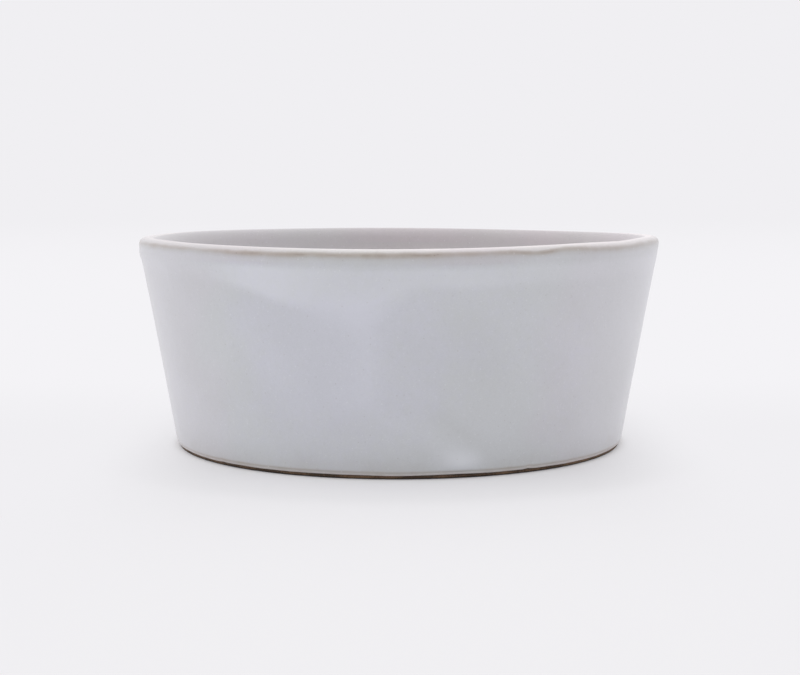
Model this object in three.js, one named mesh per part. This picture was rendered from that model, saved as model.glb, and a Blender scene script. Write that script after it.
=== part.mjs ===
import * as THREE from 'three';
import { toCreasedNormals } from 'three/addons/utils/BufferGeometryUtils.js';

// Stoneware bowl: a turned clay body with straight flaring walls and a low foot ring, dipped and
// poured in a pale matt glaze. Millimetres, +Z up. The origin is on the axis, in the plane that the
// foot ring stands on, and the front, where the glaze has run, faces -Y.
//
// Everything is drawn in one half section of radius and height. The clay outline starts on the axis
// under the bowl, goes round the foot, up the wall, over the lip and back to the axis along the
// inside floor. Each glaze coat lies on its own stretch of that outline and meets the next coat.

// Clay, measured to its corners before they are rounded
const BOWL_HEIGHT = 59.1;
const RIM_RADIUS = 74.5;
const FOOT_RADIUS = 63.9;
const WALL_BOW = 0.12; // how far the outer wall is hollowed at half height
const WALL_THICKNESS_AT_RIM = 5;
const WALL_THICKNESS_AT_FLOOR = 6.4;
const FLOOR_THICKNESS = 6.2;
const INSIDE_CORNER_LENGTH = 13; // of wall and of floor that the inside corner takes up

// Lip, measured from its corners along the top edge and down the wall
const CREST_INSET = 2.7;
const LIP_OUTER_ROUNDING = 2.2;
const LIP_INNER_ROUNDING = 3.2;

// Foot ring, and the shallow recess inside it
const FOOT_RING_WIDTH = 6.5;
const FOOT_EDGE_ROUNDING = 0.5;
const RECESS_DEPTH = 1.8;
const RECESS_FLARE = 0.9; // how much wider the recess is at its mouth than at its top
const RECESS_CORNER_LENGTH = 0.8;

// Thickness of the glaze
const WALL_GLAZE = 0.5;
const LIP_GLAZE = 0.28; // on the crest, from where it thickens to both sides
const INSIDE_GLAZE = 0.5;
const POOLED_GLAZE = 0.45; // added in the inside corner, where the glaze gathers
const RECESS_GLAZE = 0.4;

// Where the coats stop, measured along the clay from the rounded edges of the foot and the lip
const BARE_BAND_OUTSIDE = 0.45;
const BARE_BAND_IN_RECESS = 0.2;
const LIP_COAT_OUTSIDE = 1.1;
const LIP_COAT_INSIDE = 1.3;
const HEM_LENGTH = 1.4; // over which the lower edge of the outer coat rounds off

// Glaze that ran while it was wet: a roll under the lip, whose lower edge sags to a low point on the
// front, the streak below that point, and the trail that slants down to a dab above the foot, with a
// shallow groove over it. Angles are in degrees from the front, to the right. Drops are down from the
// rim and heights up from the table.
const RUN_LIP_GAP = 2.4; // over which the whole run fades out below the lip coat
const RUN_HEM_GAP = 3; // and above the hem
const ROLL_THICKNESS = 0.27;
const ROLL_DROP = 7.8;
const ROLL_DROP_FRONT = { angle: 12, spread: 45, more: 1.8 }; // it hangs lower on the front
const ROLL_FADE = 1.8; // half the height over which its lower edge fades out
const ROLL_LEAST = 0.2; // share of the roll that goes all round
const ROLL_LEFT = { angle: -27, spread: 11, share: 0.6 };
const ROLL_FRONT = { angle: 5, spread: 35, share: 0.3 };
const SAG_ANGLE = -8;
const SAG_DEPTH = 8;
const SAG_LEFT = 34; // degrees over which the edge comes down from the left
const SAG_RIGHT = 13; // and over which it goes up again on the right
const SAG_FADE = 4.4; // how much softer the edge is at its low point
const SAG_FADE_SPREAD = 8;
const STREAK_THICKNESS = 0.09;
const STREAK_ANGLE = -6.4;
const STREAK_WIDTH_LEFT = 10;
const STREAK_WIDTH_RIGHT = 3.2;
const STREAK_END_HEIGHT = 14;
const STREAK_END_FADE = 8;
const TRAIL_START_HEIGHT = 16;
const TRAIL_THICKNESS = 0.07;
const TRAIL_HALF_WIDTH = 3.4;
const GROOVE_DEPTH = 0.08;
const GROOVE_HALF_WIDTH = 1.8;
const GROOVE_ABOVE_TRAIL = 7.5;
const DAB_THICKNESS = 0.42;
const DAB_ANGLE = 13.7;
const DAB_HEIGHT = 4.9;
const DAB_HALF_WIDTH = 5.4;
const DAB_HALF_HEIGHT = 3;

// Facets round the bowl, and along the curved stretches of its section
const FACETS_ROUND = 72;
const WALL_STEPS = 3;
const LIP_STEPS = 3;
const INSIDE_CORNER_STEPS = 6;
const RECESS_CORNER_STEPS = 2;
const FOOT_EDGE_STEPS = 2;
const WALL_GLAZE_STEPS = 20;
const HEM_STEPS = 3;

const SAME_PLACE = 0.02; // points closer together than this are one point
const SHARPEST_SMOOTH_EDGE = Math.PI / 5;

const point = (radius, height) => new THREE.Vector2(radius, height);
const straight = (from, to) => new THREE.LineCurve(from, to);
const rounded = (from, corner, to) => new THREE.QuadraticBezierCurve(from, corner, to);

// The point at a distance from one corner of the section towards another
function along(from, to, distance) {
  return from.clone().lerp(to, distance / from.distanceTo(to));
}

// Corners of the clay section
const recessAxis = point(0, RECESS_DEPTH);
const ringInner = point(FOOT_RADIUS - FOOT_RING_WIDTH, 0);
const recessCorner = point(ringInner.x - RECESS_FLARE, RECESS_DEPTH);
const ringOuter = point(FOOT_RADIUS, 0);
const rimOuter = point(RIM_RADIUS, BOWL_HEIGHT);
const rimInner = point(RIM_RADIUS - WALL_THICKNESS_AT_RIM, BOWL_HEIGHT);
const crest = point(RIM_RADIUS - CREST_INSET, BOWL_HEIGHT);
const floorHeight = RECESS_DEPTH + FLOOR_THICKNESS;
const outerRadiusAtFloor = ringOuter.clone().lerp(rimOuter, floorHeight / BOWL_HEIGHT).x;
const floorCorner = point(outerRadiusAtFloor - WALL_THICKNESS_AT_FLOOR, floorHeight);
const floorAxis = point(0, floorHeight);

// Where one coat ends and the next begins
const recessGlazeEnd = along(ringInner, recessCorner, FOOT_EDGE_ROUNDING + BARE_BAND_IN_RECESS);
const hemStart = along(ringOuter, rimOuter, FOOT_EDGE_ROUNDING + BARE_BAND_OUTSIDE);
const hemEnd = along(hemStart, rimOuter, HEM_LENGTH);
const outerSeam = along(rimOuter, ringOuter, LIP_OUTER_ROUNDING + LIP_COAT_OUTSIDE);
const innerSeam = along(rimInner, floorCorner, LIP_INNER_ROUNDING + LIP_COAT_INSIDE);

// Underside: the recess, and the foot ring with both its edges rounded
const recessTop = straight(recessAxis, along(recessCorner, recessAxis, RECESS_CORNER_LENGTH));
const recessBendEnd = along(recessCorner, ringInner, RECESS_CORNER_LENGTH);
const recessBend = rounded(recessTop.v2, recessCorner, recessBendEnd);
const recessSide = straight(recessBend.v2, recessGlazeEnd);
const ringInnerEdge = rounded(
  along(ringInner, recessCorner, FOOT_EDGE_ROUNDING),
  ringInner,
  along(ringInner, ringOuter, FOOT_EDGE_ROUNDING),
);
const ringOuterEdge = rounded(
  along(ringOuter, ringInner, FOOT_EDGE_ROUNDING),
  ringOuter,
  along(ringOuter, rimOuter, FOOT_EDGE_ROUNDING),
);

// Outside wall, slightly hollow, and the lip with its crest nearer the outside
const hem = straight(hemStart, hemEnd);
const wallMiddle = hemEnd.clone().lerp(outerSeam, 0.5);
const outerWall = rounded(hemEnd, point(wallMiddle.x - 2 * WALL_BOW, wallMiddle.y), outerSeam);
const lipOuter = rounded(along(rimOuter, ringOuter, LIP_OUTER_ROUNDING), rimOuter, crest);
const lipInner = rounded(crest, rimInner, along(rimInner, floorCorner, LIP_INNER_ROUNDING));

// Inside: wall, rounded corner and floor
const cornerStart = along(floorCorner, rimInner, INSIDE_CORNER_LENGTH);
const cornerEnd = along(floorCorner, floorAxis, INSIDE_CORNER_LENGTH);
const innerWall = straight(innerSeam, cornerStart);
const insideCorner = rounded(cornerStart, floorCorner, cornerEnd);
const insideFloor = straight(cornerEnd, floorAxis);

// One line of points from several stretches, with each shared point only once
function chain(...stretches) {
  const points = stretches.flat();
  return points.filter((here, i) => i === 0 || here.distanceTo(points[i - 1]) > SAME_PLACE);
}

// Points of the glaze surface over a curve of the clay. The thickness is a function of the share of
// the curve that lies behind the point.
function over(curve, steps, thicknessAt) {
  const points = [];
  for (let step = 0; step <= steps; step += 1) {
    const share = step / steps;
    const clay = curve.getPoint(share);
    const direction = curve.getTangent(share);
    const thickness = thicknessAt(share);
    points.push(point(clay.x + direction.y * thickness, clay.y - direction.x * thickness));
  }
  return points;
}

const even = (thickness) => () => thickness;
const roundedStart = (thickness) => (share) => thickness * Math.sqrt(1 - (1 - share) ** 2);
const roundedEnd = (thickness) => (share) => thickness * Math.sqrt(1 - share ** 2);
const pooled = (share) => INSIDE_GLAZE + POOLED_GLAZE * Math.sin(Math.PI * share) ** 2;

function thinningToCrest(share) {
  const arc = lipOuter.getLength();
  const fromSeam = LIP_COAT_OUTSIDE + arc * share;
  const thinned = THREE.MathUtils.smoothstep(fromSeam, 0, LIP_COAT_OUTSIDE + arc);
  return THREE.MathUtils.lerp(WALL_GLAZE, LIP_GLAZE, thinned);
}

function thickeningFromCrest(share) {
  const arc = lipInner.getLength();
  const thickened = THREE.MathUtils.smoothstep(arc * share, 0, arc + LIP_COAT_INSIDE);
  return THREE.MathUtils.lerp(LIP_GLAZE, INSIDE_GLAZE, thickened);
}

// Each coat, as the clay under it and the surface over it, both in the order of the clay outline
const recessCoat = {
  clay: chain(
    recessTop.getPoints(1),
    recessBend.getPoints(RECESS_CORNER_STEPS),
    recessSide.getPoints(1),
  ),
  surface: chain(
    over(recessTop, 1, even(RECESS_GLAZE)),
    over(recessBend, RECESS_CORNER_STEPS, even(RECESS_GLAZE)),
    over(recessSide, HEM_STEPS, roundedEnd(RECESS_GLAZE)),
  ),
};
const outerCoat = {
  clay: chain(hem.getPoints(1), outerWall.getPoints(WALL_STEPS)),
  surface: chain(
    over(hem, HEM_STEPS, roundedStart(WALL_GLAZE)),
    over(outerWall, WALL_GLAZE_STEPS, even(WALL_GLAZE)),
  ),
};
const insideCoat = {
  clay: chain(
    innerWall.getPoints(1),
    insideCorner.getPoints(INSIDE_CORNER_STEPS),
    insideFloor.getPoints(1),
  ),
  surface: chain(
    over(innerWall, 1, even(INSIDE_GLAZE)),
    over(insideCorner, INSIDE_CORNER_STEPS, pooled),
    over(insideFloor, 1, even(INSIDE_GLAZE)),
  ),
};
const lipCoat = {
  clay: chain([outerSeam], lipOuter.getPoints(LIP_STEPS), lipInner.getPoints(LIP_STEPS), [innerSeam]),
  surface: chain(
    [outerCoat.surface.at(-1)],
    over(lipOuter, LIP_STEPS, thinningToCrest),
    over(lipInner, LIP_STEPS, thickeningFromCrest),
    [insideCoat.surface[0]],
  ),
};
const bareFoot = [ringInnerEdge.getPoints(FOOT_EDGE_STEPS), ringOuterEdge.getPoints(FOOT_EDGE_STEPS)];
const clayOutline = chain(recessCoat.clay, ...bareFoot, outerCoat.clay, lipCoat.clay, insideCoat.clay);

const fade = THREE.MathUtils.smoothstep;
const bell = (distance, halfWidth) => Math.exp(-((distance / halfWidth) ** 2));

// Height of the roll's lower edge at an angle from the front, before and after it sags, and how
// softly it fades out there
function rollEdgeAt(angle) {
  const aside = angle - SAG_ANGLE;
  const { angle: middle, spread, more } = ROLL_DROP_FRONT;
  const level = BOWL_HEIGHT - ROLL_DROP - more * bell(angle - middle, spread);
  const sag = SAG_DEPTH * (1 - fade(Math.abs(aside), 0, aside < 0 ? SAG_LEFT : SAG_RIGHT));
  return { level, height: level - sag, softness: ROLL_FADE + SAG_FADE * bell(aside, SAG_FADE_SPREAD) };
}

// Thickness that the run adds to the outer coat, at an angle from the front and a height
function runThickness(angle, height) {
  const arcFrom = (start) => THREE.MathUtils.degToRad(angle - start) * FOOT_RADIUS;
  const part = ({ angle: middle, spread, share }) => share * bell(angle - middle, spread);

  const edge = rollEdgeAt(angle);
  const edgeBottom = edge.height - edge.softness;
  const rollShare = ROLL_LEAST + part(ROLL_LEFT) + part(ROLL_FRONT);
  const roll = ROLL_THICKNESS * rollShare * fade(height, edgeBottom, edge.height + edge.softness);

  const onStreak = fade(height, STREAK_END_HEIGHT, STREAK_END_HEIGHT + STREAK_END_FADE);
  const belowRoll = 1 - fade(height, edgeBottom, edge.level);
  const streakWidth = angle < STREAK_ANGLE ? STREAK_WIDTH_LEFT : STREAK_WIDTH_RIGHT;
  const streak = STREAK_THICKNESS * bell(arcFrom(STREAK_ANGLE), streakWidth) * onStreak * belowRoll;

  const fromStreak = (angle - STREAK_ANGLE) / (DAB_ANGLE - STREAK_ANGLE);
  const trailHeight = THREE.MathUtils.lerp(TRAIL_START_HEIGHT, DAB_HEIGHT, fromStreak);
  const onTrail = fade(fromStreak, 0, 0.3) * (1 - fade(fromStreak, 0.75, 1));
  const trail = TRAIL_THICKNESS * bell(height - trailHeight, TRAIL_HALF_WIDTH) * onTrail;
  const onGroove = fade(fromStreak, 0.5, 0.8) * (1 - fade(fromStreak, 1.15, 1.45));
  const fromGroove = height - trailHeight - GROOVE_ABOVE_TRAIL;
  const groove = GROOVE_DEPTH * bell(fromGroove, GROOVE_HALF_WIDTH) * onGroove;

  const dabAcross = bell(arcFrom(DAB_ANGLE), DAB_HALF_WIDTH);
  const dab = DAB_THICKNESS * dabAcross * bell(height - DAB_HEIGHT, DAB_HALF_HEIGHT);

  const clearOfHem = fade(height, hemStart.y, hemStart.y + RUN_HEM_GAP);
  const clearOfLip = 1 - fade(height, outerSeam.y - RUN_LIP_GAP, outerSeam.y);
  return (roll + streak + trail - groove + dab) * clearOfHem * clearOfLip;
}

// Turns a section about the axis. The section runs counter-clockwise, so the faces point outwards.
function turn(section) {
  return new THREE.LatheGeometry(section, FACETS_ROUND).rotateX(Math.PI / 2);
}

// The section of a coat: out along the clay and back over the surface
function coatSection({ clay, surface }) {
  const back = [...surface].reverse();
  if (clay[0].x === 0) {
    return chain(clay, back);
  }
  return clay.at(-1).x === 0 ? chain(back, clay) : chain(clay, back, [clay[0]]);
}

// Turns a coat. Its section runs clockwise and its faces are turned over again, so that each facet
// is split across the same corners as the clay's and the two meet face to face.
function turnCoat(coat, addedThickness = () => 0) {
  const section = coatSection(coat);
  const geometry = turn(section);
  const corners = geometry.index.array;
  for (let first = 0; first < corners.length; first += 3) {
    [corners[first], corners[first + 1]] = [corners[first + 1], corners[first]];
  }
  const place = geometry.attributes.position;
  for (let i = 0; i < place.count; i += 1) {
    if (coat.surface.includes(section[i % section.length])) {
      const angle = Math.atan2(place.getX(i), -place.getY(i));
      const added = addedThickness(THREE.MathUtils.radToDeg(angle), place.getZ(i));
      place.setX(i, place.getX(i) + Math.sin(angle) * added);
      place.setY(i, place.getY(i) - Math.cos(angle) * added);
    }
  }
  return geometry;
}

function piece(name, geometry, color, roughness) {
  const material = new THREE.MeshStandardMaterial({ color, roughness, metalness: 0 });
  const mesh = new THREE.Mesh(toCreasedNormals(geometry, SHARPEST_SMOOTH_EDGE), material);
  mesh.name = name;
  return mesh;
}

const bowl = new THREE.Group();
bowl.add(piece('stoneware_body', turn(clayOutline), '#5b4737', 0.9));
bowl.add(piece('outer_glaze', turnCoat(outerCoat, runThickness), '#c3c6cd', 0.5));
bowl.add(piece('lip_glaze', turnCoat(lipCoat), '#cdc4bd', 0.45));
bowl.add(piece('inner_glaze', turnCoat(insideCoat), '#b8b2b3', 0.5));
bowl.add(piece('foot_recess_glaze', turnCoat(recessCoat), '#bdbfc4', 0.55));

export default bowl;
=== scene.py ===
import math

import bmesh
import bpy
import numpy as np
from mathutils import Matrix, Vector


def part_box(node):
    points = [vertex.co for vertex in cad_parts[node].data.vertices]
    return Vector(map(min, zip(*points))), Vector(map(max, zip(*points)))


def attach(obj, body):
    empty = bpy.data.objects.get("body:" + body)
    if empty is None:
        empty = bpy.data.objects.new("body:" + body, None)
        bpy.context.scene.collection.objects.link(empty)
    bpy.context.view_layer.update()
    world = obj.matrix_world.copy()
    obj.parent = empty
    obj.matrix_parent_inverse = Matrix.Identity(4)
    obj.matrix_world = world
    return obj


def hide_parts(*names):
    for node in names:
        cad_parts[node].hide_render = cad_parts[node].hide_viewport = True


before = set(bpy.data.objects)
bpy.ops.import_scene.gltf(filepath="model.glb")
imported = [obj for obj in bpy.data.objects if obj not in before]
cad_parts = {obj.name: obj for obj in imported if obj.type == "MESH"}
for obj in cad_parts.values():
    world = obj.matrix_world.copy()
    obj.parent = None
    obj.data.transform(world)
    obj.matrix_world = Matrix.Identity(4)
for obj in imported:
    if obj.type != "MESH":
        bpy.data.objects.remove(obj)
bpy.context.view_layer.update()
print("frame loaded")

# Lengths are in metres, so a size in millimetres is written as a number times mm.
# Angles round the bowl are in degrees from the front (-Y), to the right.
mm = 0.001
columns = 480 # points round the bowl

# Camera

cameraSetup = {
    "lens": 70.9, # mm
    "sensor": 36, # mm wide
    "nearest": 10 * mm, # that it sees
    "distance": 458.5 * mm, # from the bowl's axis
    "height": 77.05 * mm,
    "aside": 0.36 * mm,
    "pitchDown": 5.894, # degrees
    "roll": 0.09, # degrees
}


def makeCamera():
    data = bpy.data.cameras.new("camera")
    data.lens = cameraSetup["lens"]
    data.sensor_width = cameraSetup["sensor"]
    data.clip_start = cameraSetup["nearest"]
    camera = bpy.data.objects.new("camera", data)
    bpy.context.collection.objects.link(camera)
    camera.location = (cameraSetup["aside"], -cameraSetup["distance"], cameraSetup["height"])
    camera.rotation_euler = (
        math.radians(90 - cameraSetup["pitchDown"]),
        math.radians(cameraSetup["roll"]),
        0,
    )
    bpy.context.scene.camera = camera


makeCamera()
print("camera placed")

# Section of the clay: corners as radius and height, before they are rounded.
# Heights that the frame holds are read from its boxes.

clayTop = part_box("stoneware_body")[1][2]
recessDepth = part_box("foot_recess_glaze")[1][2]
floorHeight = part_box("inner_glaze")[0][2]
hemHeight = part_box("outer_glaze")[0][2]

clay = {
    "rimRadius": 74.5 * mm,
    "footRadius": 63.9 * mm,
    "wallBow": 0.12 * mm,
    "wallAtRim": 5 * mm,
    "wallAtFloor": 6.4 * mm,
    "insideCorner": 13 * mm,
    "crestInset": 2.7 * mm,
    "lipOuter": 2.2 * mm,
    "lipInner": 3.2 * mm,
    "lipCoatOutside": 1.1 * mm,
    "lipCoatInside": 1.3 * mm,
    "ringWidth": 6.5 * mm,
    "footEdge": 0.5 * mm,
    "recessFlare": 0.9 * mm,
    "recessCorner": 0.8 * mm,
    "bareInRecess": 0.2 * mm,
}


def toward(start, end, distance):
    return start + (end - start) * distance / np.linalg.norm(end - start)


ringInner = np.array([clay["footRadius"] - clay["ringWidth"], 0])
ringOuter = np.array([clay["footRadius"], 0])
recessCorner = np.array([ringInner[0] - clay["recessFlare"], recessDepth])
recessAxis = np.array([0, recessDepth])
rimOuter = np.array([clay["rimRadius"], clayTop])
rimInner = np.array([clay["rimRadius"] - clay["wallAtRim"], clayTop])
crest = np.array([clay["rimRadius"] - clay["crestInset"], clayTop])
outerAtFloor = ringOuter + (rimOuter - ringOuter) * floorHeight / clayTop
floorCorner = np.array([outerAtFloor[0] - clay["wallAtFloor"], floorHeight])
floorAxis = np.array([0, floorHeight])
hemStart = ringOuter + (rimOuter - ringOuter) * hemHeight / clayTop
outerSeam = toward(rimOuter, ringOuter, clay["lipOuter"] + clay["lipCoatOutside"])
innerSeam = toward(rimInner, floorCorner, clay["lipInner"] + clay["lipCoatInside"])
recessEnd = toward(ringInner, recessCorner, clay["footEdge"] + clay["bareInRecess"])


# A run is a stretch of the section: its points, and at each point the way out of the clay.
# A run between two points is bent by pulling it towards a third.

def makeRun(start, end, count, pull=None):
    pull = (start + end) / 2 if pull is None else pull
    t = np.linspace(0, 1, count + 1)[:, None]
    points = (1 - t) ** 2 * start + 2 * t * (1 - t) * pull + t ** 2 * end
    along = 2 * (1 - t) * (pull - start) + 2 * t * (end - pull)
    along /= np.linalg.norm(along, axis=1)[:, None]
    return points, np.stack([along[:, 1], -along[:, 0]], axis=1)


def joinRuns(*runs):
    points = [runs[0][0]] + [run[0][1:] for run in runs[1:]]
    outward = [runs[0][1]] + [run[1][1:] for run in runs[1:]]
    return np.concatenate(points), np.concatenate(outward)


def lengthAlong(points):
    lengths = np.linalg.norm(np.diff(points, axis=0), axis=1)
    return np.concatenate([[0], np.cumsum(lengths)])


wallMiddle = (hemStart + outerSeam) / 2 - np.array([2 * clay["wallBow"], 0])
ringInnerUp = toward(ringInner, recessCorner, clay["footEdge"])
ringInnerFlat = toward(ringInner, ringOuter, clay["footEdge"])
ringOuterFlat = toward(ringOuter, ringInner, clay["footEdge"])
ringOuterUp = toward(ringOuter, rimOuter, clay["footEdge"])
lipOuterStart = toward(rimOuter, ringOuter, clay["lipOuter"])
lipInnerEnd = toward(rimInner, floorCorner, clay["lipInner"])
cornerStart = toward(floorCorner, rimInner, clay["insideCorner"])
cornerEnd = toward(floorCorner, floorAxis, clay["insideCorner"])
recessBendStart = toward(recessCorner, recessAxis, clay["recessCorner"])
recessBendEnd = toward(recessCorner, ringInner, clay["recessCorner"])

steps = { # how finely each stretch of the section is divided
    "recess": 40,
    "recessBend": 10,
    "recessEdge": 8,
    "ringInside": 3,
    "ringBend": 5,
    "ringFlat": 24,
    "ringOutside": 5,
    "wall": 170,
    "lipEdge": 8,
    "lipBend": 18,
    "insideWall": 60,
    "insideBend": 44,
    "floor": 60,
}

recessRun = joinRuns(
    makeRun(recessAxis, recessBendStart, steps["recess"]),
    makeRun(recessBendStart, recessBendEnd, steps["recessBend"], recessCorner),
    makeRun(recessBendEnd, recessEnd, steps["recessEdge"]),
)
footRun = joinRuns(
    makeRun(recessEnd, ringInnerUp, steps["ringInside"]),
    makeRun(ringInnerUp, ringInnerFlat, steps["ringBend"], ringInner),
    makeRun(ringInnerFlat, ringOuterFlat, steps["ringFlat"]),
    makeRun(ringOuterFlat, ringOuterUp, steps["ringBend"], ringOuter),
    makeRun(ringOuterUp, hemStart, steps["ringOutside"]),
)
wallRun = makeRun(hemStart, outerSeam, steps["wall"], wallMiddle)
lipRun = joinRuns(
    makeRun(outerSeam, lipOuterStart, steps["lipEdge"]),
    makeRun(lipOuterStart, crest, steps["lipBend"], rimOuter),
    makeRun(crest, lipInnerEnd, steps["lipBend"], rimInner),
    makeRun(lipInnerEnd, innerSeam, steps["lipEdge"]),
)
insideRun = joinRuns(
    makeRun(innerSeam, cornerStart, steps["insideWall"]),
    makeRun(cornerStart, cornerEnd, steps["insideBend"], floorCorner),
    makeRun(cornerEnd, floorAxis, steps["floor"]),
)
print("section drawn")

# Slow waves and single bumps of the thrown clay and the glaze, the same in each run

angles = np.linspace(-180, 180, columns, endpoint=False)
turn = np.radians(angles)


def fade(value, low, high):
    t = np.clip((value - low) / (high - low), 0, 1)
    return t * t * (3 - 2 * t)


def bell(distance, halfWidth):
    return np.exp(-((distance / halfWidth) ** 2))


# Each place is its degrees round the bowl, its degrees of spread and its height
def bells(*places):
    return sum(high * bell(angles - at, spread) for at, spread, high in places)


# Waves of many lengths and slants; with a height of 0 they only run round the bowl
def waves(height, seed, longest, shortest, count=24):
    random = np.random.default_rng(seed)
    total = np.zeros(np.broadcast(height, turn).shape)
    around = 2 * math.pi * clay["rimRadius"]
    for _ in range(count):
        length = longest * (shortest / longest) ** random.random()
        slant = random.uniform(0, math.pi)
        rounds = round(around / length * math.cos(slant))
        climb = 2 * math.pi / length * math.sin(slant)
        total = total + np.cos(rounds * turn + climb * height + random.uniform(0, 2 * math.pi))
    return total / math.sqrt(count / 2)


rimShape = {
    "twoHigh": (-0.246 * mm, 0.18 * mm), # cosine and sine of two waves round the rim
    "threeHigh": (-0.23 * mm, -0.04 * mm),
    "riseFade": 2, # how fast these fade down the wall
    "outOfRound": 0.06 * mm,
    "outOfRoundWaves": {"seed": 3, "longest": 180 * mm, "shortest": 60 * mm, "count": 8},
    "outOfRoundSquat": 0.2, # less than 1 draws those waves out upwards
    "stillWithin": 0.5, # share of the foot's radius that stays as turned
    "crestRises": [ # degrees, degrees of spread, how far the crest alone rises there
        (55, 8.5, -0.26 * mm),
        (-61.5, 8, 0.1 * mm),
        (-122, 22, 0.2 * mm),
    ],
    "crestFade": 30, # how fast that fades down the lip
}


def throwShape(radius, height):
    look = rimShape
    two, three = look["twoHigh"], look["threeHigh"]
    rise = two[0] * np.cos(2 * turn) + two[1] * np.sin(2 * turn)
    rise = rise + three[0] * np.cos(3 * turn) + three[1] * np.sin(3 * turn)
    share = np.clip(height / clayTop, 0, 1)
    rise = rise * share ** look["riseFade"] + bells(*look["crestRises"]) * share ** look["crestFade"]
    swell = look["outOfRound"] * waves(look["outOfRoundSquat"] * height, **look["outOfRoundWaves"])
    outside = fade(radius, look["stillWithin"] * clay["footRadius"], clay["footRadius"])
    return radius + swell * share * outside, height + rise * outside


# Turned pieces: rows of points along a closed or an open outline, each row a ring

def revolve(name, radius, height, closed, sharpRows=()):
    radius, height = throwShape(radius, height)
    rows = radius.shape[0]
    x, y = radius * np.sin(turn), -radius * np.cos(turn)
    points = np.stack([x, y, height], axis=-1).reshape(-1, 3)
    lastRow = rows if closed else rows - 1
    row, column = np.meshgrid(np.arange(lastRow), np.arange(columns), indexing="ij")
    nextRow, nextColumn = (row + 1) % rows, (column + 1) % columns
    corners = [row * columns + column, row * columns + nextColumn]
    corners += [nextRow * columns + nextColumn, nextRow * columns + column]
    faces = np.stack(corners, axis=-1).reshape(-1, 4)
    mesh = bpy.data.meshes.new(name)
    mesh.vertices.add(len(points))
    mesh.vertices.foreach_set("co", points.ravel())
    mesh.loops.add(faces.size)
    mesh.loops.foreach_set("vertex_index", faces.ravel().astype(np.int32))
    mesh.polygons.add(len(faces))
    mesh.polygons.foreach_set("loop_start", np.arange(0, faces.size, 4, dtype=np.int32))
    mesh.polygons.foreach_set("use_smooth", np.ones(len(faces), dtype=bool))
    mesh.update(calc_edges=True)
    mesh.validate()
    ends = np.empty(2 * len(mesh.edges), dtype=np.int32)
    mesh.edges.foreach_get("vertices", ends)
    edgeRows = ends.reshape(-1, 2) // columns
    sharp = (edgeRows[:, 0] == edgeRows[:, 1]) & np.isin(edgeRows[:, 0], sharpRows)
    mesh.attributes.new("sharp_edge", "BOOLEAN", "EDGE").data.foreach_set("value", sharp)
    piece = bpy.data.objects.new(name, mesh)
    bpy.context.collection.objects.link(piece)
    return piece


# The ring of points on the axis becomes one point
def closeAxis(piece, within=0.001 * mm):
    form = bmesh.new()
    form.from_mesh(piece.data)
    onAxis = [v for v in form.verts if math.hypot(v.co.x, v.co.y) < within]
    bmesh.ops.remove_doubles(form, verts=onAxis, dist=within)
    form.to_mesh(piece.data)
    form.free()


def addValue(piece, name, values):
    attribute = piece.data.attributes.new(name, "FLOAT", "POINT")
    attribute.data.foreach_set("value", values.ravel().astype(np.float32))


# A coat lies on a run of clay; shift moves its surface along the run, and tones are what its
# material reads at each point
def coatPiece(name, run, thickness, tones, underSteps=12, shift=None, onAxis=False):
    points, outward = run
    thickness = thickness * np.ones(columns)
    radius = points[:, 0, None] + outward[:, 0, None] * thickness
    height = points[:, 1, None] + outward[:, 1, None] * thickness
    if shift is not None:
        radius = radius - outward[:, 1, None] * shift
        height = height + outward[:, 0, None] * shift
    under = np.linspace(len(points) - 1, 0, underSteps + 1).round().astype(int)
    flat = np.ones(columns)
    radius = np.concatenate([radius, points[under, 0, None] * flat])
    height = np.concatenate([height, points[under, 1, None] * flat])
    piece = revolve(name, radius, height, not onAxis, (0, len(points) - 1))
    hidden = np.zeros((len(under), columns))
    for tone, values in tones.items():
        addValue(piece, tone, np.concatenate([values * np.ones((len(points), columns)), hidden]))
    if onAxis:
        closeAxis(piece)
    return piece


# Clay body: fine on the bare foot, and with fewer rows where glaze covers it

claySkin = {
    "recessSteps": 20,
    "wallSteps": 40,
    "lipSteps": 26,
    "insideSteps": 55,
    "pits": 0.012 * mm, # how deep the bare foot is pitted
    "pitWaves": {"seed": 5, "longest": 3 * mm, "shortest": 1.2 * mm},
}


def fewerRows(run, count):
    kept = np.linspace(0, len(run[0]) - 1, count + 1).round().astype(int)
    return run[0][kept], run[1][kept]


def makeBody():
    look = claySkin
    recess = fewerRows(recessRun, look["recessSteps"])
    wall = fewerRows(wallRun, look["wallSteps"])
    lip = fewerRows(lipRun, look["lipSteps"])
    inside = fewerRows(insideRun, look["insideSteps"])
    points, outward = joinRuns(recess, footRun, wall, lip, inside)
    pits = look["pits"] * waves(points[:, 1, None] + points[:, 0, None], **look["pitWaves"])
    bare = np.zeros(len(points)) # 1 on the foot, apart from its two ends
    bare[len(recess[0]):len(recess[0]) + len(footRun[0]) - 2] = 1
    pits = -np.abs(pits) * bare[:, None]
    radius = points[:, 0, None] + outward[:, 0, None] * pits
    height = points[:, 1, None] + outward[:, 1, None] * pits
    piece = revolve("clay_body", radius, height, closed=False)
    closeAxis(piece)
    return piece


# Outer glaze, with the run on its front

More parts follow.
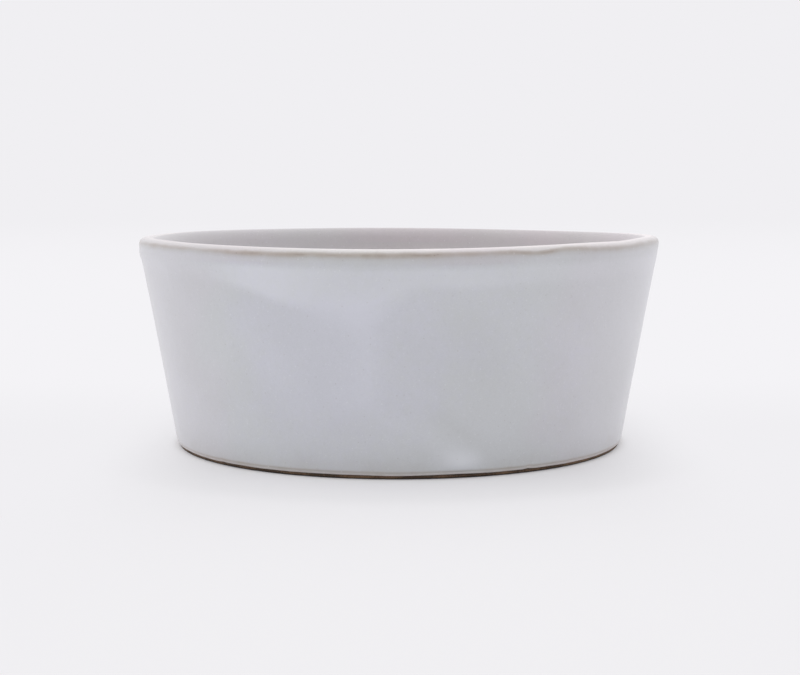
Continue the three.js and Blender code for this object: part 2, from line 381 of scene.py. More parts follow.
glazeRun = {
    "wall": 0.5 * mm,
    "roll": 0.27 * mm, # added under the lip
    "rollDrop": 7.8 * mm, # from the clay's top down to its lower edge
    "rollDropFront": (12, 45, 1.8 * mm), # degrees, degrees of spread, how much further down there
    "rollFade": 1.8 * mm,
    "rollUneven": 0.15 * mm,
    "rollWaves": {"seed": 11, "longest": 90 * mm, "shortest": 20 * mm, "count": 10},
    "sagFade": 4.4 * mm, # how much softer its edge is where it sags
    "sagSoft": 8, # degrees
    "rollShares": [ # degrees, degrees of spread, share of the roll
        (-28, 10.5, 0.66),
        (10, 31, 0.29),
    ],
    "rollLeast": 0.2,
    "sagAngle": -8, # where the roll's edge hangs lowest
    "sagDepth": 8 * mm,
    "sagLeft": 34, # degrees over which it comes down from the left
    "sagRight": 13, # degrees over which it goes up again on the right
    "streak": 0.09 * mm, # added below the lowest place of the roll
    "streakAngle": -6.4,
    "streakLeft": 10 * mm,
    "streakRight": 3.2 * mm,
    "streakEnd": 14 * mm,
    "streakEndFade": 8 * mm,
    "trailStart": 16 * mm,
    "trailBend": 1.7, # how much steeper it gets on its way down
    "trail": 0.07 * mm, # added where it slants down to the dab
    "trailHalfWidth": 3.4 * mm,
    "trailFrom": (0, 0.3), # shares of its way from the streak to the dab over which it fades in
    "trailTo": (0.75, 1), # and out
    "groove": 0.065 * mm,
    "grooveHalfWidth": 2.8 * mm,
    "grooveAbove": 7.5 * mm, # over the trail's middle
    "grooveFrom": (0.5, 0.8), # shares of the trail's way
    "grooveTo": (1.15, 1.45),
    "dab": 0.42 * mm,
    "dabAngle": 14.1,
    "dabHeight": 4.4 * mm,
    "dabHalfWidth": 5.5 * mm,
    "dabHalfHeight": 3.5 * mm,
    "uneven": 0.02 * mm, # all over the wall
    "unevenWaves": {"seed": 21, "longest": 60 * mm, "shortest": 14 * mm},
    "hemLength": 1.4 * mm, # of the rounded end above the bare foot
    "hemUneven": 0.04 * mm,
    "hemWaves": {"seed": 31, "longest": 70 * mm, "shortest": 12 * mm, "count": 14},
    "hemLimits": (-0.35 * mm, 0.5 * mm), # that its rises stay within
    "hemRiseFade": 5 * mm, # above it, over which they are lost
    "hemRises": [ # degrees, degrees of spread, how far the hem climbs there
        (15, 12, 0.2 * mm),
        (34, 9, 0.08 * mm),
        (-22, 11, 0.1 * mm),
        (-30, 6, -0.03 * mm),
        (48, 9, -0.1 * mm),
        (31.5, 0.8, 0.2 * mm),
        (-47, 1.1, 0.14 * mm),
    ],
    "lipGap": 2.4 * mm, # over which the run fades out below the lip coat
    "hemGap": 2.2 * mm, # and above the hem
    "depthAtLip": 0.39 * mm, # how thick it looks there
    "lipPatches": [ # degrees, degrees of spread, how much thicker it looks under the lip
        (-50, 28, 0.125 * mm),
        (17, 7, -0.03 * mm),
        (28.5, 5, 0.1 * mm),
        (52, 12, 0.06 * mm),
    ],
    "patches": [ # degrees and their spread, height and its spread, how much thicker it looks
        (-22.5, 7, 26 * mm, 11 * mm, 0.05 * mm),
        (-34.5, 5, 33 * mm, 5 * mm, -0.05 * mm),
        (-32, 6, 9 * mm, 6 * mm, 0.04 * mm),
        (-12, 4, 38 * mm, 6 * mm, -0.07 * mm),
        (-6, 13, 3.5 * mm, 3 * mm, -0.06 * mm),
        (19, 8, 28 * mm, 17 * mm, -0.05 * mm),
        (43, 5, 12 * mm, 4 * mm, -0.05 * mm),
    ],
    # painted shade: towards the foot the glaze is coloured as if thinner, so the lower wall darkens
    "shadedDepthAtFoot": 0.37 * mm,
    "footShadeFade": 10 * mm,
    "depthAtHem": 0.25 * mm, # of the rounded end
    "hemHighlight": 0.62, # how strongly that end takes the crest's near-white, a painted highlight
    "hemHighlightFade": (0.4 * mm, 0.8 * mm),
    "thinLine": 0.98 * mm, # a thin, warmer line runs this far above it
    "thinLineHalfWidth": 0.38 * mm,
    "thinLineDepth": 0.2 * mm,
}


def runThickness(height):
    look = glazeRun
    aside = angles - look["sagAngle"]
    rollBottom = clayTop - look["rollDrop"] - bells(look["rollDropFront"])
    sag = 1 - fade(np.abs(aside) / np.where(aside < 0, look["sagLeft"], look["sagRight"]), 0, 1)
    rollEdge = rollBottom - look["sagDepth"] * sag
    rollEdge = rollEdge + look["rollUneven"] * waves(0 * height, **look["rollWaves"])
    share = look["rollLeast"] + bells(*look["rollShares"])
    soft = look["rollFade"] + look["sagFade"] * bell(aside, look["sagSoft"])
    roll = share * look["roll"] * fade(height, rollEdge - soft, rollEdge + soft)

    def arcFrom(start):
        return np.radians(angles - start) * clay["footRadius"]

    onStreak = fade(height, look["streakEnd"], look["streakEnd"] + look["streakEndFade"])
    belowRoll = 1 - fade(height, rollEdge - soft, rollBottom)
    streakWidth = np.where(angles < look["streakAngle"], look["streakLeft"], look["streakRight"])
    streak = look["streak"] * bell(arcFrom(look["streakAngle"]), streakWidth) * onStreak * belowRoll

    fromStreak = (angles - look["streakAngle"]) / (look["dabAngle"] - look["streakAngle"])
    sunk = np.clip(fromStreak, 0, 2) ** look["trailBend"]
    trailHeight = look["trailStart"] + (look["dabHeight"] - look["trailStart"]) * sunk
    onTrail = fade(fromStreak, *look["trailFrom"]) * (1 - fade(fromStreak, *look["trailTo"]))
    trail = look["trail"] * bell(height - trailHeight, look["trailHalfWidth"]) * onTrail
    onGroove = fade(fromStreak, *look["grooveFrom"]) * (1 - fade(fromStreak, *look["grooveTo"]))
    grooveHeight = trailHeight + look["grooveAbove"]
    groove = look["groove"] * bell(height - grooveHeight, look["grooveHalfWidth"]) * onGroove

    dab = look["dab"] * bell(arcFrom(look["dabAngle"]), look["dabHalfWidth"])
    dab = dab * bell(height - look["dabHeight"], look["dabHalfHeight"])
    return roll + streak + trail - groove + dab


# Slight hues: a bluer patch on the front, and pinker ones beside it and under the lip

hues = {
    "violetFrom": (-42, -28), # degrees over which the bluer patch fades in
    "violetTo": (2, 18), # and out
    "violetTop": (42 * mm, 50 * mm), # heights over which it grows weaker
    "violetAtTop": 0.4, # share that is left there
    "violetBottom": (22 * mm, 5 * mm),
    "violetAtBottom": 0.1,
    "pinkFrom": (26, 40), # the same for the pinker patch on the right
    "pinkTo": (-52, -36), # and on the left
    "pinkShare": 0.5,
    "pinkUnderLip": [ # degrees, degrees of spread, strength
        (15, 12, 0.7),
        (-35, 13, 0.7),
    ],
    "underLipFade": (4.5 * mm, 3 * mm), # below the clay's top
    "lean": 2, # degrees that the patches' edges waver
    "leanWaves": {"seed": 23, "longest": 60 * mm, "shortest": 12 * mm, "count": 16},
    "patchWaves": {"seed": 22, "longest": 90 * mm, "shortest": 30 * mm}, # patches all round
    "patchShare": 0.25, # of them on the front
    "behindFrom": (80, 110), # degrees over which they take over
}


def hueTones(height):
    look = hues
    lean = angles + look["lean"] * waves(height, **look["leanWaves"])
    atTop, atBottom = look["violetAtTop"], look["violetAtBottom"]
    violet = fade(lean, *look["violetFrom"]) * (1 - fade(lean, *look["violetTo"]))
    violet = violet * (1 - (1 - atTop) * fade(height, *look["violetTop"]))
    violet = violet * (1 - (1 - atBottom) * fade(height, *look["violetBottom"]))
    pink = fade(lean, *look["pinkFrom"]) + 1 - fade(lean, *look["pinkTo"])
    patch = 0.5 + 0.5 * waves(height, **look["patchWaves"])
    hidden = fade(np.abs(angles), *look["behindFrom"])
    violet = violet + look["patchShare"] * (patch - 0.5) + hidden * patch
    pink = look["pinkShare"] * (pink * (1 - hidden) + hidden * (1 - patch))
    lipLow, lipHigh = look["underLipFade"]
    underLip = fade(height, clayTop - lipLow, clayTop - lipHigh)
    return violet, pink + bells(*look["pinkUnderLip"]) * underLip


def depthAtLip():
    return glazeRun["depthAtLip"] + bells(*glazeRun["lipPatches"])


# The coats are thicker where they meet on the left; belowSeam is metres down the wall
def seamSwell(belowSeam):
    look = lipCoat
    return bells(look["swell"]) * bell(belowSeam - look["swellBelow"], look["swellHalfHeight"])


def makeOuterGlaze():
    look = glazeRun
    height = wallRun[0][:, 1, None]
    fromHem = lengthAlong(wallRun[0])[:, None]
    toLip = fromHem[-1] - fromHem
    hem = np.sqrt(1 - (1 - np.clip(fromHem / look["hemLength"], 0, 1)) ** 2)
    added = runThickness(height) + look["uneven"] * waves(height, **look["unevenWaves"])
    added = added * fade(fromHem, 0, look["hemGap"]) * fade(toLip, 0, look["lipGap"])
    thickness = look["wall"] * hem + added
    depth = thickness
    thickness = thickness + seamSwell(toLip)
    depth = depth - (look["wall"] - depthAtLip()) * (1 - fade(toLip, 0, look["lipGap"]))
    # painted shade darkening the wall towards the foot
    footShade = hem * (1 - fade(fromHem, 0, look["footShadeFade"]))
    depth = depth - (look["wall"] - look["shadedDepthAtFoot"]) * footShade
    for at, spread, high, tall, more in look["patches"]:
        depth = depth + more * bell(angles - at, spread) * bell(height - high, tall)
    depth = np.maximum(depth, look["depthAtHem"])
    thinLine = bell(fromHem - look["thinLine"], look["thinLineHalfWidth"])
    depth = depth + (look["thinLineDepth"] - depth) * thinLine
    # painted highlight on the glaze's rounded lower end, through the inside colours' near-white at
    # thin depth
    white = look["hemHighlight"] * (1 - fade(fromHem, *look["hemHighlightFade"]))
    violet, pink = hueTones(height)
    rise = look["hemUneven"] * waves(0 * height, **look["hemWaves"]) + bells(*look["hemRises"])
    shift = np.clip(rise, *look["hemLimits"]) * (1 - fade(fromHem, 0, look["hemRiseFade"]))
    tones = {"depth": depth / mm, "violet": violet, "pink": pink, "inside": white}
    return coatPiece("outer_glaze_coat", wallRun, thickness, tones, shift=shift)


# Colour inside the bowl: the left turns paler and bluer, like the outside

liner = {
    "coat": 0.5 * mm,
    "pool": 0.45 * mm, # added in the corner
    "uneven": 0.03 * mm,
    "unevenWaves": {"seed": 51, "longest": 40 * mm, "shortest": 9 * mm},
    "unevenFrom": (0 * mm, 4 * mm), # below the lip coat
    "unevenTo": (35 * mm, 60 * mm), # from the floor's middle
    "palerLeft": (-0.15, 0.7), # share of the radius over which it does
    "palerShare": 0.35, # how much of the outer colour it takes on
    "looksThinner": 0.05 * mm, # below the lip
    "thinnerFade": (0 * mm, 3 * mm),
}


def insideShare(radius):
    reach = np.minimum(radius / cornerEnd[0], 1)
    return 1 - liner["palerShare"] * fade(-reach * np.sin(turn), *liner["palerLeft"])


# Lip glaze, thin on the crest, with the clay showing through where it breaks over the shoulder, and a
# painted highlight along the crest

lipCoat = {
    "seam": 0.5 * mm,
    "crest": 0.28 * mm,
    "breakDepth": 0.14 * mm, # how thick it looks along the break
    "breakPlace": 2.17 * mm, # up from the outer seam, along the clay
    "breakBelow": 0.95 * mm, # how far it fades out below its middle
    "breakAbove": 0.65 * mm,
    "breakBroader": (59, 13, 0.25 * mm), # degrees, degrees of spread, how much wider it is there
    "breakUneven": 0.04 * mm,
    "breakWaves": {"seed": 41, "longest": 60 * mm, "shortest": 9 * mm, "count": 12},
    "breakStrength": 0.66,
    "strengthUneven": 0.03,
    "strengthWaves": {"seed": 42, "longest": 50 * mm, "shortest": 4 * mm, "count": 20},
    "breakStronger": 0.13, # added on the front
    "strongerFrom": (-48, -26), # degrees
    "strongerTo": (31, 37),
    "highlightOutside": 0.5 * mm, # how far outside the crest the painted highlight is strongest
    "lessHighlight": (60, 7, 0.4 * mm), # degrees, degrees of spread, how much nearer to the crest the painted highlight's strongest place lies there
    "highlightFade": 1.65 * mm, # over which the painted highlight turns into the inner coat's colour
    "highlightSides": [ # degrees, degrees of spread, how much further the painted highlight reaches there
        (-90, 25, 1.1 * mm),
        (88, 24, 1 * mm),
    ],
    "swell": (-92, 24, 0.36 * mm), # degrees, degrees of spread, thickness added at the seam
    "swellBelow": 1 * mm, # how far under the seam its middle is
    "swellHalfHeight": 1.5 * mm,
    "sags": [ # degrees, degrees of spread, how far the break sags there
        (-29, 11, 0.18 * mm),
        (0, 9, 0.1 * mm),
        (27.5, 5, 0.22 * mm),
        (35.5, 3.5, -0.36 * mm),
        (49, 12, 0.3 * mm),
    ],
    "bareSpots": [ # degrees, degrees of spread, how much thinner the glaze looks
        (-29.4, 0.8, 0.12),
        (-18.7, 1.1, 0.2),
        (-12.8, 1.2, 0.2),
        (-9.4, 0.8, 0.12),
        (-6.4, 0.7, 0.12),
        (3.6, 0.8, 0.16),
        (5.4, 0.8, 0.2),
        (24.6, 1.8, 0.14),
        (30.2, 1.5, 0.14),
    ],
    "bareBelow": 0.1 * mm, # how far below the middle of the break they lie
    "bareHalfHeight": 0.24 * mm,
    "insideGrowth": 0.75, # below 1, the inside's colour comes in sooner above the break
}


def makeLipGlaze():
    look = lipCoat
    along = lengthAlong(lipRun[0])[:, None]
    crestAt = along[np.argmin(np.linalg.norm(lipRun[0] - crest, axis=1))]
    toCrest = fade(along, 0, crestAt)
    fromCrest = fade(along, crestAt, along[-1])
    thickness = look["seam"] + (look["crest"] - look["seam"]) * (toCrest - fromCrest)
    thickness = thickness + seamSwell(-along)

    place = look["breakPlace"] - bells(*look["sags"])
    place = place + look["breakUneven"] * waves(0 * along, **look["breakWaves"])
    onFront = fade(angles, *look["strongerFrom"]) * (1 - fade(angles, *look["strongerTo"]))
    strength = look["breakStrength"] + look["breakStronger"] * onFront
    strength = strength + look["strengthUneven"] * waves(0 * along, **look["strengthWaves"])
    halfWidth = np.where(along > place, look["breakAbove"], look["breakBelow"])
    strength = strength * bell(along - place, halfWidth + bells(look["breakBroader"]))

    # painted highlight along the crest: the lip is coloured near-white there
    highlightAt = crestAt - look["highlightOutside"] + bells(look["lessHighlight"])
    highlightEnd = crestAt - look["highlightOutside"] + bells(*look["highlightSides"])
    depth = depthAtLip() + (look["crest"] - depthAtLip()) * fade(along, 0, highlightAt)
    pastHighlight = fade(along, highlightEnd, highlightEnd + look["highlightFade"])
    depth = depth + (look["seam"] - look["crest"]) * pastHighlight
    depth = depth + (look["breakDepth"] - depth) * strength
    bare = bells(*look["bareSpots"]) * bell(along - place + look["bareBelow"], look["bareHalfHeight"])
    depth = depth * (1 - bare)
    inside = np.clip((along - place) / (highlightAt - place), 0, 1) ** look["insideGrowth"]
    inside = inside * insideShare(lipRun[0][:, 0, None])
    pink = hueTones(lipRun[0][:, 1, None])[1]
    tones = {"depth": depth / mm, "violet": 0, "pink": pink, "inside": inside}
    return coatPiece("lip_glaze_coat", lipRun, thickness, tones)


# Inner glaze, gathered in the corner between wall and floor

def makeInnerGlaze():
    along = lengthAlong(insideRun[0])[:, None]
    cornerFrom = np.linalg.norm(cornerStart - innerSeam)
    cornerTo = along[-1] - cornerEnd[0]
    share = np.clip((along - cornerFrom) / (cornerTo - cornerFrom), 0, 1)
    pool = liner["pool"] * np.sin(math.pi * share) ** 2
    uneven = liner["uneven"] * waves(insideRun[0][:, 1, None] + along, **liner["unevenWaves"])
    uneven = uneven * fade(along, *liner["unevenFrom"]) * fade(along[-1] - along, *liner["unevenTo"])
    thickness = liner["coat"] + pool + uneven
    depth = thickness - liner["looksThinner"] * fade(along, *liner["thinnerFade"])
    inside = insideShare(insideRun[0][:, 0, None])
    tones = {"depth": depth / mm, "violet": 0, "pink": 0, "inside": inside}
    return coatPiece("inner_glaze_coat", insideRun, thickness, tones, onAxis=True)


# Glaze in the recess under the foot

underside = {
    "coat": 0.4 * mm,
    "hemLength": 0.5 * mm,
}


def makeRecessGlaze():
    along = lengthAlong(recessRun[0])[:, None]
    toEnd = along[-1] - along
    hem = np.sqrt(1 - (1 - np.clip(toEnd / underside["hemLength"], 0, 1)) ** 2)
    thickness = underside["coat"] * hem * np.ones(columns)
    tones = {"depth": thickness / mm, "violet": 0, "pink": 0, "inside": 0}
    return coatPiece("recess_glaze_coat", recessRun, thickness, tones, onAxis=True)


# Shader maths: a Value wraps a socket, and sums of Values add Math nodes

class Value:
    def __init__(self, shader, socket):
        self.shader = shader
        self.socket = socket

    def maths(self, operation, first, second):
        return self.shader.node("ShaderNodeMath", {"operation": operation}, {0: first, 1: second})

    def __add__(self, other):
        return self.maths("ADD", self, other)

    def __radd__(self, other):
        return self.maths("ADD", other, self)

    def __sub__(self, other):
        return self.maths("SUBTRACT", self, other)

    def __rsub__(self, other):
        return self.maths("SUBTRACT", other, self)

    def __mul__(self, other):
        return self.maths("MULTIPLY", self, other)

    def __rmul__(self, other):
        return self.maths("MULTIPLY", other, self)


class Shader:
    def __init__(self, tree):
        self.tree = tree
        self.tree.nodes.clear()

    # Any node: its settings are set first, then its sockets get values or links
    def node(self, kind, settings=None, sockets=None, output=0):
        made = self.tree.nodes.new(kind)
        for key, value in (settings or {}).items():
            if key == "stops":
                self.setStops(made.color_ramp, value)
            else:
                setattr(made, key, value)
        for key, value in (sockets or {}).items():
            if isinstance(value, Value):
                self.tree.links.new(value.socket, made.inputs[key])
            else:
                made.inputs[key].default_value = value
        return Value(self, made.outputs[output]) if made.outputs else None

    def setStops(self, ramp, stops):
        while len(ramp.elements) < len(stops):
            ramp.elements.new(0.5)
        for element, (position, tint) in zip(ramp.elements, stops):
            element.position = position
            element.color = tint

    def place(self, scale=1.0):
        spot = self.node("ShaderNodeTexCoord", output="Object")
        settings = {"operation": "SCALE"}
        return self.node("ShaderNodeVectorMath", settings, {0: spot, "Scale": scale / mm})

    # From 0 to 1, about 0.5 in the middle; size in mm
    def noise(self, size, detail=2.0, seed=0.0, roughness=0.5):
        sockets = {"Vector": self.place(1 / size), "W": seed, "Scale": 1.0}
        sockets.update({"Detail": detail, "Roughness": roughness})
        return self.node("ShaderNodeTexNoise", {"noise_dimensions": "4D"}, sockets)

    def dots(self, spacing, output="Distance"):
        sockets = {"Vector": self.place(1 / spacing), "Scale": 1.0}
        return self.node("ShaderNodeTexVoronoi", {}, sockets, output)

    def part(self, vector, axis):
        return self.node("ShaderNodeSeparateXYZ", {}, {0: vector}, output=axis)

    def length(self, vector):
        settings = {"operation": "LENGTH"}
        return self.node("ShaderNodeVectorMath", settings, {0: vector}, output="Value")

    def smooth(self, value, low, high, start=0.0, end=1.0):
        return self.node(
            "ShaderNodeMapRange",
            {"interpolation_type": "SMOOTHSTEP"},
            {"Value": value, "From Min": low, "From Max": high, "To Min": start, "To Max": end},
        )

    def mix(self, factor, first, second, blend="MIX"):
        settings = {"data_type": "RGBA", "blend_type": blend}
        return self.node("ShaderNodeMix", settings, {0: factor, 6: first, 7: second}, output=2)

    def ramp(self, value, stops):
        return self.node("ShaderNodeValToRGB", {"stops": stops}, {"Fac": value})

    # Round specks: mm between them, shares of that for the core and the edge, share left out
    def specks(self, spacing, core, edge, leftOut, step=0.02):
        pick = self.node("ShaderNodeSeparateColor", {}, {0: self.dots(spacing, "Color")})
        shown = self.smooth(pick, leftOut, leftOut + step)
        return (1 - self.smooth(self.dots(spacing), core, edge)) * shown

    def attribute(self, name):
        return self.node("ShaderNodeAttribute", {"attribute_name": name}, output="Fac")

    def bump(self, height, distance, strength=1.0, under=None):
        sockets = {"Height": height, "Distance": distance, "Strength": strength}
        if under is not None:
            sockets["Normal"] = under
        return self.node("ShaderNodeBump", {}, sockets)

    # 1 for what the camera sees straight, in a mirror or through glass, 0 for light on a surface
    def seenDirectly(self):
        outputs = ("Is Camera Ray", "Is Glossy Ray", "Is Transmission Ray")
        camera, glossy, through = [self.node("ShaderNodeLightPath", output=name) for name in outputs]
        return camera + glossy + through

    def surface(self, sockets):
        skin = self.node("ShaderNodeBsdfPrincipled", {}, sockets)
        self.node("ShaderNodeOutputMaterial", {}, {"Surface": skin})


# A colour as a screen shows it, each part from 0 to 255
def colour(red, green, blue):
    def linear(level):
        share = level / 255
        return share / 12.92 if share <= 0.04045 else ((share + 0.055) / 1.055) ** 2.4
    return (linear(red), linear(green), linear(blue), 1)


def newMaterial(name):
    material = bpy.data.materials.new(name)
    material.use_nodes = True
    return material, Shader(material.node_tree)


# Glaze: its colour follows its depth, from clay showing through to cloudy white

glazeLook = {
    "depths": [ # depth in mm, colour outside, colour inside the bowl and on its lip
        (0.0, colour(84, 66, 50), colour(84, 66, 50)),
        (0.1, colour(138, 126, 113), colour(142, 126, 112)),
        (0.18, colour(175, 167, 160), colour(189, 178, 168)),
        # the inside colour at 0.28 mm is near-white, a painted highlight for the crest and the hem's
        # rounded end
        (0.28, colour(190, 190, 190), colour(245, 239, 238)),
        (0.42, colour(200, 202, 205), colour(201, 195, 197)),
        (0.55, colour(205, 207, 211), colour(191, 186, 188)),
        (0.75, colour(215, 217, 222), colour(201, 197, 199)),
        (1.0, colour(227, 229, 234), colour(210, 207, 209)),
    ],
    "violetTint": colour(256, 255, 261),
    "pinkTint": colour(256, 250, 254),
    "cloud": {"size": 22, "detail": 2, "seed": 1.3}, # sizes in mm
    "blotch": {"size": 2.6, "detail": 3, "seed": 2.2},
    "mottle": {"size": 1.9, "detail": 2, "seed": 6.4},
    "fine": {"size": 0.42, "detail": 3, "seed": 4.1, "roughness": 0.7},
    "fleck": {"size": 0.85, "detail": 2, "seed": 9.3, "roughness": 0.6},
    "swell": {"size": 2.6, "detail": 2, "seed": 7.7},
    "cloudDepth": 0.1, # mm
    "blotchDepth": 0.08,
    "mottleViolet": 1.2,
    "fineGrain": 0.13, # share of the colour's lightness
    "fleckGrain": 0.035,
    "paleFlecks": (0.58, 0.72), # levels of the fleck noise
    "darkFlecks": (0.28, 0.42),
    "smoothFrom": (0.55, 0.7), # mm of depth over which thick glaze grows smoother
    "grainWhenThick": 0.35,
    "paleSpecks": (1.3, 0.08, 0.2, 0.6), # mm between them, core, edge, share left out
    "paleStrength": 0.3,
    "darkSpecks": (1.7, 0.06, 0.14, 0.6),
    "darkStrength": 0.18,
    "holes": (6.5, 0.015, 0.035, 0.8),
    "holeStrength": 0.5,
    "pits": (1.1, 0.08, 0.25, 0.6), # only where the clay shows through
    "pitStrength": 0.6,
    "pitsBelow": (0.17, 0.22), # mm of depth
    "roughness": 0.42,
    "cloudRoughness": 0.1,
    "fineRoughness": 0.15,
    "swellBump": (0.02 * mm, 0.4), # height, strength
    "peelBump": (0.012 * mm, 0.5),
    "holeSink": 1.5,
    "paleRise": 0.5,
    "coat": 0.55,
    "coatRoughness": 0.18,
    "ior": 1.5,
}


def glazeMaterial(name):
    look = glazeLook
    material, shader = newMaterial(name)
    names = ("cloud", "blotch", "mottle", "fine", "fleck", "swell")
    cloud, blotch, mottle, fine, fleck, swell = [shader.noise(**look[name]) for name in names]
    showingClay, thinGlaze, thickGlaze = [look["depths"][row][1] for row in (0, 1, -1)]

    depth = shader.attribute("depth") + (cloud - 0.5) * look["cloudDepth"]
    depth = depth + (blotch - 0.5) * look["blotchDepth"]
    outer = shader.ramp(depth, [(row[0], row[1]) for row in look["depths"]])
    inner = shader.ramp(depth, [(row[0], row[2]) for row in look["depths"]])
    base = shader.mix(shader.attribute("inside"), outer, inner)
    violet = shader.attribute("violet") + (mottle - 0.5) * look["mottleViolet"]
    base = shader.mix(violet, base, look["violetTint"], "MULTIPLY")
    base = shader.mix(shader.attribute("pink"), base, look["pinkTint"], "MULTIPLY")

    flecks = shader.smooth(fleck, *look["paleFlecks"])
    flecks = flecks - shader.smooth(fleck, *look["darkFlecks"], 1.0, 0.0)
    thin = shader.smooth(depth, *look["smoothFrom"], 1.0, look["grainWhenThick"])
    grain = ((fine - 0.5) * look["fineGrain"] + flecks * look["fleckGrain"]) * thin + 1
    grey = shader.node("ShaderNodeCombineColor", {}, {0: grain, 1: grain, 2: grain})
    base = shader.mix(1.0, base, grey, "MULTIPLY")

    pale, holes = shader.specks(*look["paleSpecks"]), shader.specks(*look["holes"])
    base = shader.mix(pale * look["paleStrength"], base, thickGlaze)
    base = shader.mix(shader.specks(*look["darkSpecks"]) * look["darkStrength"], base, thinGlaze)
    base = shader.mix(holes * look["holeStrength"], base, thinGlaze)
    pits = shader.specks(*look["pits"]) * shader.smooth(depth, *look["pitsBelow"], 1.0, 0.0)
    base = shader.mix(pits * look["pitStrength"], base, showingClay)

    rough = look["roughness"] + (cloud - 0.5) * look["cloudRoughness"]
    rough = rough + (fine - 0.5) * look["fineRoughness"]
    peel = fine - holes * look["holeSink"] + pale * look["paleRise"]
    normal = shader.bump(peel, *look["peelBump"], under=shader.bump(swell, *look["swellBump"]))
    shader.surface({
        "Base Color": base,
        "Roughness": rough,
        "Normal": normal,
        "IOR": look["ior"],
        "Coat Weight": look["coat"],
        "Coat Roughness": look["coatRoughness"],
    })
    return material


# Bare clay of the foot: brown stoneware with darker iron patches and grit, and a painted contact
# shadow along the edge that it stands on

clayLook = {
    "light": colour(114, 90, 69),
    "dark": colour(68, 52, 38),
    "grit": colour(126, 106, 86),
    "iron": colour(40, 30, 24),
    "edge": colour(30, 23, 18), # painted contact shadow along the edge that it stands on
    "contactShadeFade": (0.15, 0.55), # mm above the table, over which the painted shadow fades
    "contactShadeFrom": (62.5, 63.3), # mm from the axis, so that the ring's flat underside stays brown
    "contactShadeStrength": 0.9,
    "patch": {"size": 7, "detail": 4, "seed": 0.6}, # sizes in mm
    "grain": {"size": 0.5, "detail": 3, "seed": 5.0},
    "grainShare": 0.5,
    "patchLevels": (0.38, 0.66), # of the noise, from dark to light clay
    "gritDots": (0.9, 0.12, 0.3), # mm between them, shares of that for the core and the edge
    "gritStrength": 0.35,
    "ironDots": (2.3, 0.05, 0.13),
    "ironStrength": 0.8,
    "gritRise": 0.4,
    "bump": (0.05 * mm, 0.8), # height, strength
    "roughness": 0.85,
    "grainRoughness": 0.1,
}


def clayMaterial():
    look = clayLook
    material, shader = newMaterial("bare_clay")
    patch, grain = shader.noise(**look["patch"]), shader.noise(**look["grain"])
    light = shader.smooth(patch + (grain - 0.5) * look["grainShare"], *look["patchLevels"])
    base = shader.mix(light, look["dark"], look["light"])
    spacing, core, edge = look["gritDots"]
    grit = 1 - shader.smooth(shader.dots(spacing), core, edge)
    base = shader.mix(grit * look["gritStrength"], base, look["grit"])
    spacing, core, edge = look["ironDots"]
    iron = 1 - shader.smooth(shader.dots(spacing), core, edge)
    base = shader.mix(iron * look["ironStrength"], base, look["iron"])
    height, fromAxis = shader.part(shader.place(), "Z"), shader.length(shader.place())
    # painted contact shadow: the clay turns near-black along the edge that stands on the table
    contactShade = shader.smooth(height, *look["contactShadeFade"], look["contactShadeStrength"], 0.0)
    contactShade = contactShade * shader.smooth(fromAxis, *look["contactShadeFrom"])
    base = shader.mix(contactShade, base, look["edge"])
    shader.surface({
        "Base Color": base,
        "Roughness": look["roughness"] + (grain - 0.5) * look["grainRoughness"],
        "Normal": shader.bump(grain + grit * look["gritRise"], *look["bump"]),
    })
    return material


# Build and dress the pieces

def addPiece(piece, node, material):
    piece.data.materials.append(material)
    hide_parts(node)
    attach(piece, "root")
    print("made", piece.name)


addPiece(makeBody(), "stoneware_body", clayMaterial())
coats = [ # what makes it, the node that it replaces, its slot
    (makeOuterGlaze, "outer_glaze", "pale_glaze"),
    (makeLipGlaze, "lip_glaze", "lip_glaze"),
    (makeInnerGlaze, "inner_glaze", "inside_glaze"),
    (makeRecessGlaze, "foot_recess_glaze", "underside_glaze"),
]
for makeCoat, node, slot in coats:
    addPiece(makeCoat(), node, glazeMaterial(slot))


# Floor, light and background

studio = {
    "background": colour(240, 239, 242),
    # painted pool of light on the floor behind the bowl
    "paintedLightBehind": colour(244, 243, 246),
    "floor": colour(229, 228, 230),
    "sky": 0.545, # its strength level with the table, to the left and right of the front
    "overhead": 2.0, # how much brighter the sky is straight above
    "sides": 1.8, # and to the left and right
    "front": 0.72, # darker on the camera's side
    "behind": 1.5, # brighter behind the bowl
    "key": 0.38, # strength of the wide, soft lamp
    "keyTurn": (38, -50), # degrees down from overhead, and round from the front to the left
    "keyWidth": 90, # degrees
    "plainFrom": (0.45, 1.2), # metres from the bowl over which the floor turns plain
    "plainAround": (0.25, 0.4), # how plain it is in front of the bowl, and beside it
    "plainAside": (0.045, 0.09), # metres to the left or right over which it turns plain
    "plainFurther": 0.33, # how much plainer it is past the bowl's shadow
    "furtherFade": (0.086, 0.1), # metres from the axis
    "plainAtFoot": (0.3, 0.45), # share of it right at the foot, in front and beside
    "plainFromFoot": (0.0637, 0.067), # metres from the axis over which it is reached
    "lightPoolRise": (0, 0.15), # metres behind the axis over which a painted pool of light makes the floor paler
    "lightPoolFade": (0.5, 2.5), # metres from the axis over which it is lost again
    "besideFrom": (-0.06, 0.02), # metres behind the axis from in front to beside the bowl
    "footBesideFrom": (-0.05, -0.015),
    "floorReach": 30, # metres from the axis
    "overheadFrom": (0, 1), # upward part of a direction over which the sky gets brighter
    "frontTo": (-1, 0.2), # backward part over which it is no longer darker
    "behindFrom": (0.2, 0.9), # backward part over which it gets brighter
    "sidesFrom": (0.2, 0.9), # sideward part, squared
}


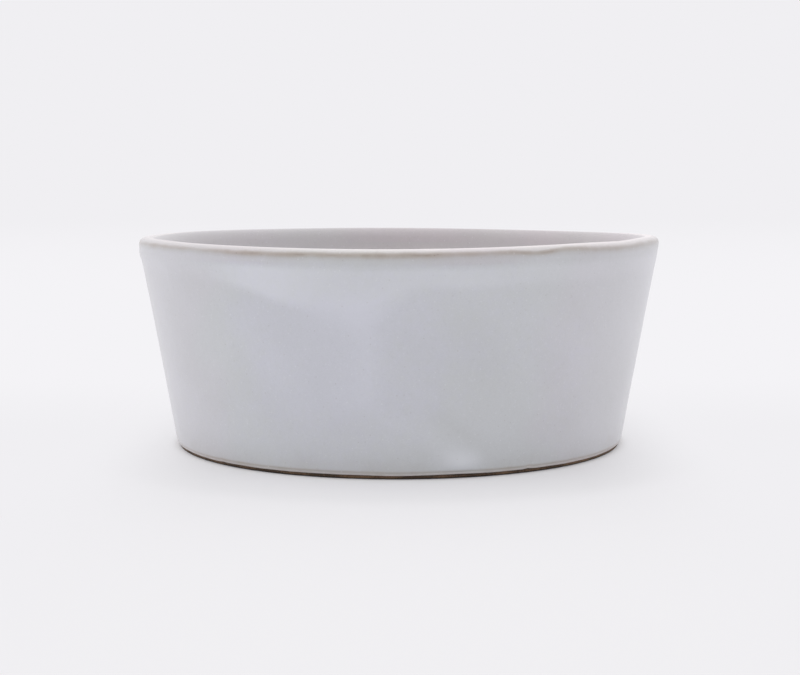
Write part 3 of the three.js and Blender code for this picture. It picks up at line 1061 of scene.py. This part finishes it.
def makeFloor():
    reach = studio["floorReach"]
    corners = [(-reach, -reach, 0), (reach, -reach, 0), (reach, reach, 0), (-reach, reach, 0)]
    mesh = bpy.data.meshes.new("floor")
    mesh.from_pydata(corners, [], [(0, 1, 2, 3)])
    floor = bpy.data.objects.new("floor", mesh)
    bpy.context.collection.objects.link(floor)
    material, shader = newMaterial("floor")
    spot = shader.node("ShaderNodeTexCoord", output="Object")
    distance, back = shader.length(spot), shader.part(spot, "Y")
    aside = shader.node("ShaderNodeMath", {"operation": "ABSOLUTE"}, {0: shader.part(spot, "X")})
    beside = shader.smooth(back, *studio["besideFrom"], *studio["plainAround"])
    matted = (1 - beside) * (1 - shader.smooth(aside, *studio["plainAside"]))
    further = shader.smooth(distance, *studio["furtherFade"], 0.0, studio["plainFurther"])
    matted = matted * (1 - further) * (1 - shader.smooth(distance, *studio["plainFrom"]))
    atFoot = shader.smooth(back, *studio["footBesideFrom"], *studio["plainAtFoot"])
    plain = (1 - matted) * shader.smooth(distance, *studio["plainFromFoot"], atFoot)
    plain = plain * shader.seenDirectly()
    matt = shader.node("ShaderNodeBsdfDiffuse", {}, {"Color": studio["floor"]})
    # painted pool of light on the floor behind the bowl, where the floor is shown plain
    behind = shader.smooth(back, *studio["lightPoolRise"])
    behind = behind * (1 - shader.smooth(distance, *studio["lightPoolFade"]))
    around = shader.node("ShaderNodeEmission", {}, {"Color": studio["background"], "Strength": 1.0})
    lightPool = shader.node("ShaderNodeEmission", {}, {"Color": studio["paintedLightBehind"], "Strength": 1.0})
    glow = shader.node("ShaderNodeMixShader", {}, {0: behind, 1: around, 2: lightPool})
    both = shader.node("ShaderNodeMixShader", {}, {0: plain, 1: matt, 2: glow})
    shader.node("ShaderNodeOutputMaterial", {}, {"Surface": both})
    floor.data.materials.append(material)


def makeLight():
    world = bpy.data.worlds.new("world")
    bpy.context.scene.world = world
    world.use_nodes = True
    shader = Shader(world.node_tree)
    way = shader.node("ShaderNodeTexCoord", output="Generated")
    across, back, up = [shader.part(way, axis) for axis in "XYZ"]
    share = shader.smooth(up, *studio["overheadFrom"], 1 / studio["overhead"])
    share = share * shader.smooth(back, *studio["frontTo"], studio["front"])
    share = share * shader.smooth(back, *studio["behindFrom"], 1 / studio["behind"])
    share = share * shader.smooth(across * across, *studio["sidesFrom"], 1 / studio["sides"])
    most = studio["sky"] * studio["overhead"] * studio["behind"] * studio["sides"]

    def evenSky(tint, strength):
        return shader.node("ShaderNodeBackground", {}, {"Color": tint, "Strength": strength})

    white = (1, 1, 1, 1)
    dark, bright = evenSky(white, 0.0), evenSky(white, most)
    sky = shader.node("ShaderNodeMixShader", {}, {0: share, 1: dark, 2: bright})
    seen = evenSky(studio["background"], 1.0)
    both = shader.node("ShaderNodeMixShader", {}, {0: shader.seenDirectly(), 1: sky, 2: seen})
    shader.node("ShaderNodeOutputWorld", {}, {"Surface": both})

    lamp = bpy.data.lights.new("key", "SUN")
    lamp.energy = studio["key"]
    lamp.angle = math.radians(studio["keyWidth"])
    key = bpy.data.objects.new("key", lamp)
    bpy.context.collection.objects.link(key)
    down, around = studio["keyTurn"]
    key.rotation_euler = (math.radians(down), 0, math.radians(around))


makeFloor()
makeLight()
bpy.context.scene.view_settings.view_transform = "Standard"
print("floor and light set")
